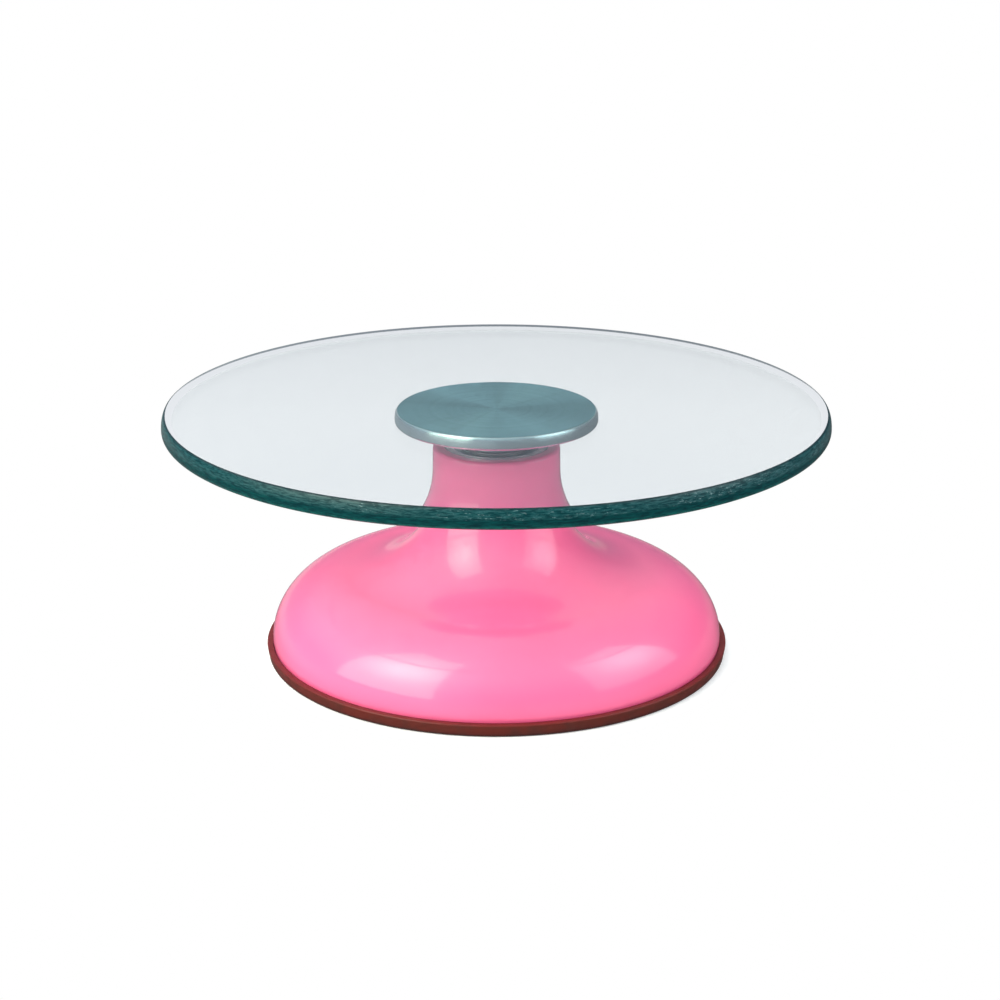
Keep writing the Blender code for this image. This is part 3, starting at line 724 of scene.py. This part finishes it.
def add_base():
    """The casting: its outside, its hollow, the stepped bore for the bearings, and the ribs."""
    edge = arc((NECK_RADIUS - NECK_EDGE, NECK_TOP - NECK_EDGE), NECK_EDGE, NECK_EDGE, 90, 0, 8)
    cove, dome = shell_outline(0, 180, 40, 36)
    inner_cove, inner_dome = shell_outline(WALL, cove_angle(WALL, TUBE_RADIUS + 2 * MM), 24, 24)
    rim_outer = dome[-1][0] - RIM_TAPER
    rim_inner = inner_dome[-1][0] - RIM_TAPER
    root_height = inner_cove[0][1]
    root = [(TUBE_RADIUS + 0.6 * MM, root_height + 0.3 * MM), (TUBE_RADIUS, root_height - 0.6 * MM)]
    relief_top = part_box("upper_outer_race")[0].z - FACE_GAP
    relief_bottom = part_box("lower_outer_race")[1].z + FACE_GAP
    ring_low, ring_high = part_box("seat_circlip")
    groove_low, groove_high = ring_low.z - FIT_GAP, ring_high.z + FIT_GAP
    bore = [
        (TUBE_RADIUS, TUBE_BOTTOM + 1.0 * MM),
        (TUBE_RADIUS - 0.3 * MM, TUBE_BOTTOM + 0.3 * MM),
        (TUBE_RADIUS - 1.0 * MM, TUBE_BOTTOM),
        (SEAT_RADIUS + 0.5 * MM, TUBE_BOTTOM),
        (SEAT_RADIUS, TUBE_BOTTOM + 0.5 * MM),
        (SEAT_RADIUS, groove_low),
        (SEAT_GROOVE_RADIUS, groove_low),
        (SEAT_GROOVE_RADIUS, groove_high),
        (SEAT_RADIUS, groove_high),
        (SEAT_RADIUS, relief_bottom),
        (TUBE_RELIEF_RADIUS, relief_bottom),
        (TUBE_RELIEF_RADIUS, relief_top),
        (SEAT_RADIUS, relief_top),
        (SEAT_RADIUS, NECK_TOP - 0.5 * MM),
        (SEAT_RADIUS + 0.5 * MM, NECK_TOP),
    ]
    rim = [
        (rim_outer, RIM_BOTTOM + 0.5 * MM),
        (rim_outer - 0.5 * MM, RIM_BOTTOM),
        (rim_inner + 0.5 * MM, RIM_BOTTOM),
        (rim_inner, RIM_BOTTOM + 0.5 * MM),
    ]
    hollow = [*reversed(inner_dome[1:]), *reversed(inner_cove)]
    profile = [*edge, *cove, *dome[1:], *rim, *hollow, *root, *bore]

    def pick(centre, normal):
        radius = Vector((centre.x, centre.y)).length
        outward = normal.x * centre.x + normal.y * centre.y
        at_tube_end = centre.z < TUBE_BOTTOM + 0.4 * MM and radius < TUBE_RADIUS
        if radius < SEAT_RADIUS + 0.45 * MM or at_tube_end:
            return 2
        if centre.z > NECK_TOP - 2 * MM or centre.z < RIM_BOTTOM + 0.6 * MM:
            return 0
        if radius < TUBE_RADIUS + 3 * MM and centre.z < 60 * MM:
            return 1
        return 0 if outward > 0 and normal.z > -0.3 else 1

    pink, inside = enamel(), overspray()
    bare = turned_metal("machined_seat", linear(176, 176, 180), 0.3, 0.0003)
    shell = add_mesh("base_shell_fine", turn(profile, SEGMENTS), [pink, inside, bare], pick)
    boolean(shell, make_ribs(), "UNION", inside)
    stand_for("base_shell", shell)


def make_ribs():
    """Four webs between the bearing tube and the shell, with rounded lower edges."""
    middle = WALL / 2
    inner = (TUBE_RADIUS + SEAT_RADIUS) / 2
    cove, dome = shell_outline(middle, cove_angle(middle, inner + 2 * WALL), 16, 16)
    upper_dome = [point for point in dome if point[1] > RIB_BOTTOM]
    outline = [(inner, cove[0][1]), *cove, *upper_dome[1:], (upper_dome[-1][0], RIB_BOTTOM)]
    outline += [(RIB_BEND_RADIUS, RIB_BOTTOM), (inner, TUBE_BOTTOM + 2 * MM)]
    ribs = bmesh.new()
    for number in range(RIB_COUNT):
        turned = Matrix.Rotation(2 * pi * (number + 0.5) / RIB_COUNT, 3, "Z")
        side = [ribs.verts.new(turned @ Vector((out, -RIB_HALF, up))) for out, up in outline]
        face = ribs.faces.new(side)
        pushed = bmesh.ops.extrude_face_region(ribs, geom=[face], use_keep_orig=True)
        moved = [item for item in pushed["geom"] if isinstance(item, bmesh.types.BMVert)]
        bmesh.ops.translate(ribs, verts=moved, vec=turned @ Vector((0, 2 * RIB_HALF, 0)))
    bmesh.ops.recalc_face_normals(ribs, faces=ribs.faces[:])
    low = [
        edge
        for edge in ribs.edges
        if all(point.co.z < TUBE_BOTTOM + 3 * MM for point in edge.verts)
        and edge.calc_length() > 10 * MM
        and abs(edge.calc_face_angle(0)) > radians(60)
    ]
    bmesh.ops.bevel(ribs, geom=low, offset=RIB_ROUNDING, segments=4, profile=0.5, affect="EDGES")
    return ribs


def add_foot():
    """The ring under the casting's rim, which stands in a groove in its top."""
    rim_outer = DOME_CENTRE[0] + DOME_WIDTH - RIM_TAPER
    groove_outer = rim_outer + RIM_TAPER + FIT_GAP
    groove_inner = rim_outer - WALL - FACE_GAP
    floor = RIM_BOTTOM - FACE_GAP
    upper_centre = (FOOT_RADIUS - FOOT_EDGE, FOOT_HEIGHT - FOOT_EDGE)
    lower_centre = (FOOT_RADIUS - FOOT_DRAFT - FOOT_EDGE, FOOT_EDGE)
    profile = [
        (groove_outer, FOOT_HEIGHT - FOOT_LIP / 2),
        (groove_outer + FOOT_LIP / 4, FOOT_HEIGHT),
        *arc(upper_centre, FOOT_EDGE, FOOT_EDGE, 90, 0, 8),
        *arc(lower_centre, FOOT_EDGE, FOOT_EDGE, 0, -90, 8),
        (FOOT_INNER_RADIUS + FOOT_LIP, 0),
        (FOOT_INNER_RADIUS, FOOT_LIP),
        (FOOT_INNER_RADIUS, FOOT_INNER_HEIGHT - FOOT_LIP),
        (FOOT_INNER_RADIUS + FOOT_LIP, FOOT_INNER_HEIGHT),
        (groove_inner - FOOT_LIP, FOOT_INNER_HEIGHT),
        (groove_inner, FOOT_INNER_HEIGHT - FOOT_LIP),
        (groove_inner, floor),
        (groove_outer, floor),
    ]
    ring = add_mesh("foot_ring_fine", turn(profile, 2 * SEGMENTS), [rubber()])
    stand_for("foot_ring", ring)


def add_spindle(steel):
    """The shaft, from its top down: the grub screws' groove, the circlip's groove, a centre hole."""
    low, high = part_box("spindle")
    ring_low, ring_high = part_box("spindle_circlip")
    radius = high.x
    profile = [
        (0, high.z),
        (radius - SPINDLE_CHAMFER, high.z),
        (radius, high.z - SPINDLE_CHAMFER),
        (radius, SCREW_HEIGHT + GRIP_HALF),
        (GRIP_RADIUS, SCREW_HEIGHT + GRIP_HALF),
        (GRIP_RADIUS, SCREW_HEIGHT - GRIP_HALF),
        (radius, SCREW_HEIGHT - GRIP_HALF),
        (radius, ring_high.z + FIT_GAP),
        (RING_SEAT_RADIUS, ring_high.z + FIT_GAP),
        (RING_SEAT_RADIUS, ring_low.z - FIT_GAP),
        (radius, ring_low.z - FIT_GAP),
        (radius, low.z + SPINDLE_CHAMFER),
        (radius - SPINDLE_CHAMFER, low.z),
        (CENTRE_HOLE * 1.6, low.z),
        (CENTRE_HOLE, low.z + CENTRE_HOLE),
        (0, low.z + 2 * CENTRE_HOLE),
    ]
    shaft = add_mesh("spindle_fine", turn(profile, SMALL_SEGMENTS, False), [steel])
    stand_for("spindle", shaft)


def add_plain_rings(steel):
    """The sleeve, shim and washer on the spindle."""
    for node in ("spacer_sleeve", "hub_shim", "retaining_washer"):
        low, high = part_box(node)
        section = rounded(ring_section(BORE_RADIUS + FIT_GAP, high.x, low.z, high.z), 0.15 * MM, 3)
        ring = add_mesh(f"{node}_fine", turn(section, SMALL_SEGMENTS), [steel])
        stand_for(node, ring)


def groove(side, land):
    """Half of a raceway's section, from the land down to the groove's bottom."""
    reach = abs(land - PITCH_RADIUS) / GROOVE_RADIUS
    start = degrees(atan2(sqrt(1 - reach**2), reach))
    points = arc((0, 0), GROOVE_RADIUS, GROOVE_RADIUS, start, 0, 7)
    return [(PITCH_RADIUS + side * across, up) for across, up in points]


def both_halves(upper, middle):
    """Mirrors the upper half of a section, whose last point is on the middle plane."""
    lower = [(radius, -height) for radius, height in reversed(upper[:-1])]
    return [(radius, height + middle) for radius, height in (*upper, *lower)]


def add_races(name, middle, steel):
    """A bearing's two races, grooved for the balls and stepped for the shields."""
    outer_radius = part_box(f"{name}_outer_race")[1].x
    outer = [
        (outer_radius, BEARING_HALF - RACE_CHAMFER),
        (outer_radius - 0.25 * RACE_CHAMFER, BEARING_HALF - 0.25 * RACE_CHAMFER),
        (outer_radius - RACE_CHAMFER, BEARING_HALF),
        (SHIELD_SEAT_RADIUS, BEARING_HALF),
        (SHIELD_SEAT_RADIUS, SHIELD_SEAT_HEIGHT),
        (OUTER_LAND_RADIUS, SHIELD_SEAT_HEIGHT),
        *groove(1, OUTER_LAND_RADIUS),
    ]
    inner = [
        (BORE_RADIUS, BEARING_HALF - RACE_CHAMFER),
        (BORE_RADIUS + 0.25 * RACE_CHAMFER, BEARING_HALF - 0.25 * RACE_CHAMFER),
        (BORE_RADIUS + RACE_CHAMFER, BEARING_HALF),
        (INNER_LAND_RADIUS - 0.2 * MM, BEARING_HALF),
        (INNER_LAND_RADIUS, BEARING_HALF - 0.2 * MM),
        *groove(-1, INNER_LAND_RADIUS),
    ]
    for kind, upper in (("outer", outer), ("inner", inner)):
        node = f"{name}_{kind}_race"
        race = add_mesh(f"{node}_fine", turn(both_halves(upper, middle), SMALL_SEGMENTS), [steel])
        stand_for(node, race)


def add_shields(name, steel):
    """Pressed shields with a raised ring and a turned-in lip."""
    for side in ("top", "bottom"):
        node = f"{name}_shield_{side}"
        low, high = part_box(node)
        inner, outer = SHIELD_INNER_RADIUS, high.x
        away, face = (1, high.z) if side == "top" else (-1, low.z)
        step = (high.z - low.z) - SHEET
        outline = [
            (inner, -step),
            (inner + 0.25 * MM, -step * 0.2),
            (inner + 0.7 * MM, 0),
            (inner + 2.2 * MM, 0),
            (inner + 2.8 * MM, -step),
            (outer - 1.0 * MM, -step),
            (outer - 0.6 * MM, 0),
            (outer, 0),
        ]
        under = [(radius, height - SHEET) for radius, height in reversed(outline)]
        section = [(radius, face + away * height) for radius, height in (*outline, *under)]
        shield = add_mesh(f"{node}_fine", turn(section, SMALL_SEGMENTS), [steel])
        stand_for(node, shield)


def add_cage(name, middle, steel):
    """A ring with a round pocket for each ball."""
    low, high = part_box(f"{name}_cage")
    section = rounded(ring_section(CAGE_INNER_RADIUS, high.x, low.z, high.z), 0.3 * MM, 3)
    cage = add_mesh(f"{name}_cage_fine", turn(section, SMALL_SEGMENTS), [steel])
    pockets = bmesh.new()
    for number in range(BALL_COUNT):
        reach = (CAGE_INNER_RADIUS - MM, high.x + MM)
        radial_cylinder(pockets, POCKET_RADIUS, reach, 360 * number / BALL_COUNT, middle)
    boolean(cage, pockets, "DIFFERENCE", steel)
    stand_for(f"{name}_cage", cage)


def add_balls(name, middle, steel):
    """A bearing's balls, each a piece of its own."""
    for number in range(BALL_COUNT):
        angle = 2 * pi * number / BALL_COUNT
        place = Vector((PITCH_RADIUS * cos(angle), PITCH_RADIUS * sin(angle), middle))
        build = bmesh.new()
        bmesh.ops.create_icosphere(
            build, subdivisions=4, radius=BALL_RADIUS, matrix=Matrix.Translation(place)
        )
        node = f"{name}_ball_{number + 1}"
        stand_for(node, add_mesh(f"{node}_fine", build, [steel]))


def finish_small_parts(spring, black):
    """The springs, circlips and screws, which keep the CAD's shapes, get their materials."""
    for node, material in (
        ("wave_washer", spring),
        ("seat_circlip", spring),
        ("spindle_circlip", spring),
        ("grub_screw_1", black),
        ("grub_screw_2", black),
    ):
        mesh = frame["nodes"][node].data
        mesh.materials.clear()
        mesh.materials.append(material)


# Stage --------------------------------------------------------------------------------------


def add_floor():
    """A pale floor: bright near the object, plain white to the camera further off, and clear from
    beneath, so that the object's underside can be seen."""
    build = bmesh.new()
    bmesh.ops.create_grid(build, x_segments=1, y_segments=1, size=12.0)
    tree = Tree("floor_paper")
    radius = tree.radius()
    tree.set(Base_Color=(0.94, 0.945, 0.95, 1), Roughness=0.9, Specular_IOR_Level=0.1)
    paper = tree.shader.outputs[0]

    def glowing(colour, strength=1.0):
        return tree.shader_of("Emission", Color=colour, Strength=strength)

    def paper_with(glow):
        return tree.add("ShaderNodeAddShader", {0: paper, 1: glow}).outputs[0]

    lit = paper_with(glowing((0.97, 0.985, 1.0, 1), FLOOR_GLOW))
    bright = paper_with(glowing((1.0, 0.82, 0.52, 1), FLOOR_BOUNCE))
    far = tree.spread(radius, 0.8, 1.6, 0, 1)
    seen = tree.between(far, bright, glowing((0.20, 0.21, 0.23, 1)))
    shade = tree.spread(radius, 0.125, 0.2, *FLOOR_MIRRORED)
    to_the_right = tree.spread(tree.split(tree.place)["X"], -0.25, 0.25, 1.2, 0.6)
    mirrored = glowing((0.98, 0.98, 1.0, 1), tree.math("MULTIPLY", shade, to_the_right))
    backlight = glowing(tree.blend(tree.spread(radius, 0.2, 0.4, 0, 1), *BACKLIGHT))
    through_glass = tree.between(tree.spread(radius, 0.11, 0.14, 0, 1), lit, backlight)
    past_foot = tree.spread(radius, FOOT_RADIUS - 0.1 * MM, FOOT_RADIUS + 7.7 * MM, 0, 1)
    direct = tree.between(past_foot, lit, glowing(WHITE))
    path = tree.add("ShaderNodeLightPath").outputs
    for kind, shader in (
        ("Is Glossy Ray", mirrored),
        ("Is Transmission Ray", through_glass),
        ("Is Camera Ray", direct),
    ):
        seen = tree.between(path[kind], seen, shader)
    beneath = tree.add("ShaderNodeNewGeometry").outputs["Backfacing"]
    tree.show(tree.between(beneath, seen, tree.shader_of("BsdfTransparent")))
    floor = add_mesh("floor", build, [tree.material])
    floor.location = (0, 0, -0.2 * MM)


def add_softbox(name, sides, rise, edge, core, middle, colour):
    """An upright lamp panel, as bright as edge at its edge and as core in its middle. sides and rise
    are the azimuths and elevations in degrees that it spans as seen from the base, and middle is its
    brightest spot. Azimuth 0 is the camera's side, + to the right."""
    low = SOFTBOX_DISTANCE * tan(radians(rise[0] - SOFTBOX_MARGIN))
    high = SOFTBOX_DISTANCE * tan(radians(rise[1] + SOFTBOX_MARGIN))
    width = 2 * SOFTBOX_DISTANCE * tan(radians((sides[1] - sides[0]) / 2 + SOFTBOX_MARGIN))
    turn_to = radians((sides[0] + sides[1]) / 2)
    away = Vector((sin(turn_to), -cos(turn_to), 0))
    lamp = bpy.data.lights.new(name, "AREA")
    lamp.shape = "RECTANGLE"
    lamp.size = width
    lamp.size_y = high - low
    lamp.energy = pi * width * (high - low)
    lamp.use_nodes = True
    tree = Nodes(lamp.node_tree)
    spot = tree.add("ShaderNodeNewGeometry").outputs["Position"]
    aimed = tree.vector("SUBTRACT", spot, SOFTBOX_AIM)["Vector"]
    parts = tree.split(aimed)
    azimuth = tree.math("ARCTAN2", parts["X"], tree.math("MULTIPLY", parts["Y"], -1.0))
    level = tree.vector("MULTIPLY", aimed, (1, 1, 0))["Vector"]
    elevation = tree.math("ARCTAN2", parts["Z"], tree.vector("LENGTH", level)["Value"])
    share = 1.0
    for angle, (start, end) in ((azimuth, sides), (elevation, rise)):
        start, end, soft = radians(start), radians(end), radians(SOFTBOX_SOFTNESS)
        share = tree.math("MULTIPLY", share, tree.spread(angle, start, start + soft, 0, 1))
        share = tree.math("MULTIPLY", share, tree.spread(angle, end - soft, end, 1, 0))
    off_side = tree.math("MULTIPLY", tree.math("SUBTRACT", azimuth, radians(middle[0])), 0.8)
    off_rise = tree.math("SUBTRACT", elevation, radians(middle[1]))
    off = tree.add("ShaderNodeCombineXYZ", {0: off_side, 1: off_rise}).outputs[0]
    shine = tree.spread(tree.vector("LENGTH", off)["Value"], 0.0, radians(SOFTBOX_CORE), core, edge)
    emission = tree.nodes["Emission"]
    tree.feed(emission.inputs["Color"], colour)
    tree.feed(emission.inputs["Strength"], tree.math("MULTIPLY", share, shine))
    holder = bpy.data.objects.new(name, lamp)
    bpy.context.scene.collection.objects.link(holder)
    holder.location = Vector(SOFTBOX_AIM) + away * SOFTBOX_DISTANCE + Vector((0, 0, (low + high) / 2))
    holder.rotation_mode = "QUATERNION"
    holder.rotation_quaternion = (-away).to_track_quat("-Z", "Y")
    holder.visible_camera = False


def add_world():
    """Soft white overhead and grey towards the horizon, brighter on the left and, except in mirrored
    views, behind the object. The camera sees white."""
    world = bpy.data.worlds.new("studio")
    world.use_nodes = True
    tree = Nodes(world.node_tree)
    place = tree.split(tree.add("ShaderNodeTexCoord").outputs["Generated"])
    path = tree.add("ShaderNodeLightPath").outputs
    sky = tree.add("ShaderNodeValToRGB", {0: place["Z"]})
    stops = ((0.25, HORIZON), (0.75, CEILING))
    for element, (position, colour) in zip(sky.color_ramp.elements, stops):
        element.position = position
        element.color = colour
    plain = tree.spread(place["Y"], -1, 1, *WORLD_LEVEL, "LINEAR")
    mirrored = tree.spread(place["Y"], -1, 1, *WORLD_MIRRORED, "LINEAR")
    level = tree.spread(path["Is Glossy Ray"], 0, 1, plain, mirrored, "LINEAR")
    sides = tree.spread(place["X"], -1, 1, *WORLD_SIDES, "LINEAR")
    background = tree.nodes["Background"]
    tree.feed(background.inputs["Color"], sky.outputs[0])
    tree.feed(background.inputs["Strength"], tree.math("MULTIPLY", sides, level))
    white = tree.shader_of("Background", Color=WHITE)
    shown = tree.between(path["Is Camera Ray"], background.outputs[0], white)
    tree.links.new(shown, tree.nodes["World Output"].inputs["Surface"])
    bpy.context.scene.world = world


def add_camera():
    """In front of the turntable and a little above it, tilted down to show it whole."""
    lens = bpy.data.cameras.new("camera")
    lens.sensor_width = SENSOR_WIDTH
    lens.lens = FOCAL_LENGTH
    lens.clip_start = 0.05
    lens.clip_end = 60
    camera = bpy.data.objects.new("camera", lens)
    bpy.context.scene.collection.objects.link(camera)
    camera.location = CAMERA_PLACE
    camera.rotation_euler = (radians(90 - CAMERA_TILT), 0, 0)
    bpy.context.scene.camera = camera


def main():
    # Bearing steel, lightened and tinted pink: painted bounce light from the pink casting, in the shade
    # under the hub.
    bearing_steel = turned_metal(
        "bearing_steel", linear(236, 222, 224), 0.14, 0.0003, 0.4, 0.1, metallic=0.7
    )
    ground_steel = turned_metal("ground_steel", linear(190, 190, 192), 0.24, 0.0002, 0.6)
    shield_steel = turned_metal("shield_steel", linear(168, 170, 174), 0.34, 0.0005, 0.4)
    cage_steel = worn_steel("cage_steel", linear(150, 142, 128), 0.4, linear(116, 108, 98))
    spring_steel = worn_steel("spring_steel", linear(92, 90, 92), 0.4, linear(60, 58, 62))
    black_steel = worn_steel("black_screw_steel", linear(48, 48, 52), 0.42, linear(28, 28, 30))
    add_plate()
    add_bond()
    add_hub()
    add_base()
    add_foot()
    add_spindle(ground_steel)
    add_plain_rings(ground_steel)
    for name, middle in BEARINGS.items():
        add_races(name, middle, bearing_steel)
        add_shields(name, shield_steel)
        add_cage(name, middle, cage_steel)
        add_balls(name, middle, bearing_steel)
    finish_small_parts(spring_steel, black_steel)
    add_floor()
    add_world()
    add_softbox("softbox_left", (-84, -28), (3, 69), 2.6, 6.2, (-54, 41), (1.0, 0.97, 0.76, 1))
    add_softbox("softbox_right", (46, 101), (5, 59), 1.35, 3.9, (80, 37), WHITE)
    add_camera()
    bpy.context.scene.view_settings.view_transform = "Standard"


main()
